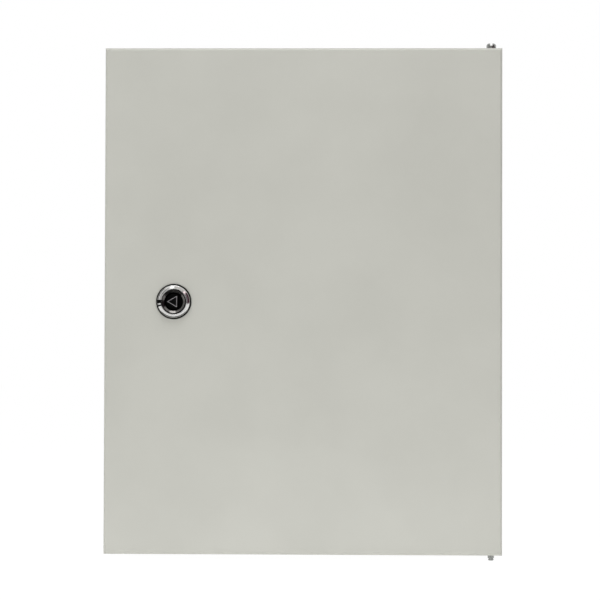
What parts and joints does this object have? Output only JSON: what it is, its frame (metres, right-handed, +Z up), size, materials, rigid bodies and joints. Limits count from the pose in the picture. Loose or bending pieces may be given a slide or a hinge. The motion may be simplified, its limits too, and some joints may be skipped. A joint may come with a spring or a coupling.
{
  "type": "steel wall enclosure",
  "caption": "Wall-mounted sheet steel enclosure with a gasketed hinged door, a quarter-turn cam lock, a mounting plate and a gland plate in the floor.",
  "frame": {"origin": "centre of the four wall holes on the wall plane, which is the outside of the back", "axes": "+Z up, +Y into the wall, -Y out through the door, +X to the right seen from the front"},
  "size_m": [0.31, 0.2236, 0.4036],
  "materials": {
    "powder_coat": "light grey textured powder coat",
    "galvanised": "hot-dip galvanised sheet, faint spangle",
    "zinc_plate": "bright zinc plating",
    "nylon": "natural nylon",
    "foam_seal": "closed-cell polyurethane foam",
    "rubber": "moulded black rubber",
    "chrome_plate": "chrome-plated zinc die casting",
    "black_rotor": "black coated zinc die casting"
  },
  "bodies": {
    "case": {"body_wrap": "powder_coat", "top_panel": "powder_coat", "bottom_panel": "powder_coat", "upper_hinge_bracket": "powder_coat", "lower_hinge_bracket": "powder_coat", "upper_hinge_pin": "zinc_plate", "lower_hinge_pin": "zinc_plate", "hinge_washers": "nylon", "hinge_nut": "zinc_plate", "plate_studs": "zinc_plate", "plate_spacers": "zinc_plate", "mounting_plate": "galvanised", "plate_washers": "zinc_plate", "plate_nuts": "zinc_plate", "gland_gasket": "foam_seal", "gland_plate": "powder_coat", "gland_studs": "zinc_plate", "gland_nuts": "zinc_plate", "cable_grommets": "rubber", "earth_stud": "zinc_plate", "earth_washer": "zinc_plate", "earth_nut": "zinc_plate"},
    "door": {"door_panel": "powder_coat", "door_gasket": "foam_seal", "door_earth_stud": "zinc_plate", "door_earth_washer": "zinc_plate", "door_earth_nut": "zinc_plate", "lock_seal": "rubber", "lock_housing": "chrome_plate", "lock_nut": "zinc_plate"},
    "lock": {"lock_rotor": "black_rotor", "lock_o_ring": "rubber", "lock_cam": "zinc_plate", "cam_washer": "zinc_plate", "cam_screw": "zinc_plate"}
  },
  "joints": [
    {"name": "door_hinge", "type": "hinge", "parent": "case", "child": "door", "pos_m": [0.1467, -0.211, 0], "axis": [0, 0, 1], "range_deg": [0, 120]},
    {"name": "lock_turn", "type": "hinge", "parent": "door", "child": "lock", "pos_m": [-0.1007, -0.22, -0.0009], "axis": [0, 1, 0], "range_deg": [0, 90]}
  ]
}
